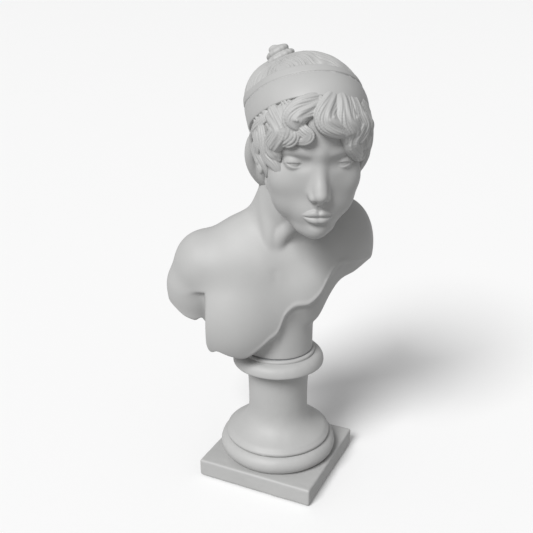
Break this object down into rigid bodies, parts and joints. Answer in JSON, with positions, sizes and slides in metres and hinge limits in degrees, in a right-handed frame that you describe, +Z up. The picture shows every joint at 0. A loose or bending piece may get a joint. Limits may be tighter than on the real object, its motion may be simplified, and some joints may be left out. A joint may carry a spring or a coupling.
{
  "type": "marble bust",
  "caption": "Carved stone bust of a young figure with a headband and bound-up curls, on a turned socle with a square plinth; the bust turns on a centre rod.",
  "frame": {"origin": "centre of the flat face of the base felt, which is on the axis of the turned socle", "axes": "+Z up along the socle's axis, -Y out of the front face of the plinth, +X to the right of that face; the sitter faces 25 degrees round from -Y towards +X"},
  "size_m": [0.2855, 0.221, 0.6129],
  "materials": {
    "bust_marble": "honed, fine-grained grey-white marble",
    "socle_marble": "honed, turned grey-white marble",
    "felt": "short-pile baize",
    "steel": "machined, lightly oiled",
    "lead": "dull rolled lead sheet",
    "bronze": "turned"
  },
  "bodies": {
    "socle": {"base_felt": "felt", "plinth": "socle_marble", "base_torus": "socle_marble", "socle_column": "socle_marble", "locating_pins": "steel", "centre_rod": "steel", "bottom_washer": "steel", "bottom_nut": "steel", "top_washer": "steel", "top_nut": "steel", "bedding_disc": "lead"},
    "bust": {"bust": "bust_marble", "bust_bush": "bronze"}
  },
  "joints": [
    {"name": "bust_turn", "type": "hinge", "parent": "socle", "child": "bust", "pos_m": [0, 0, 0.1955], "axis": [0, 0, 1], "continuous": true}
  ]
}
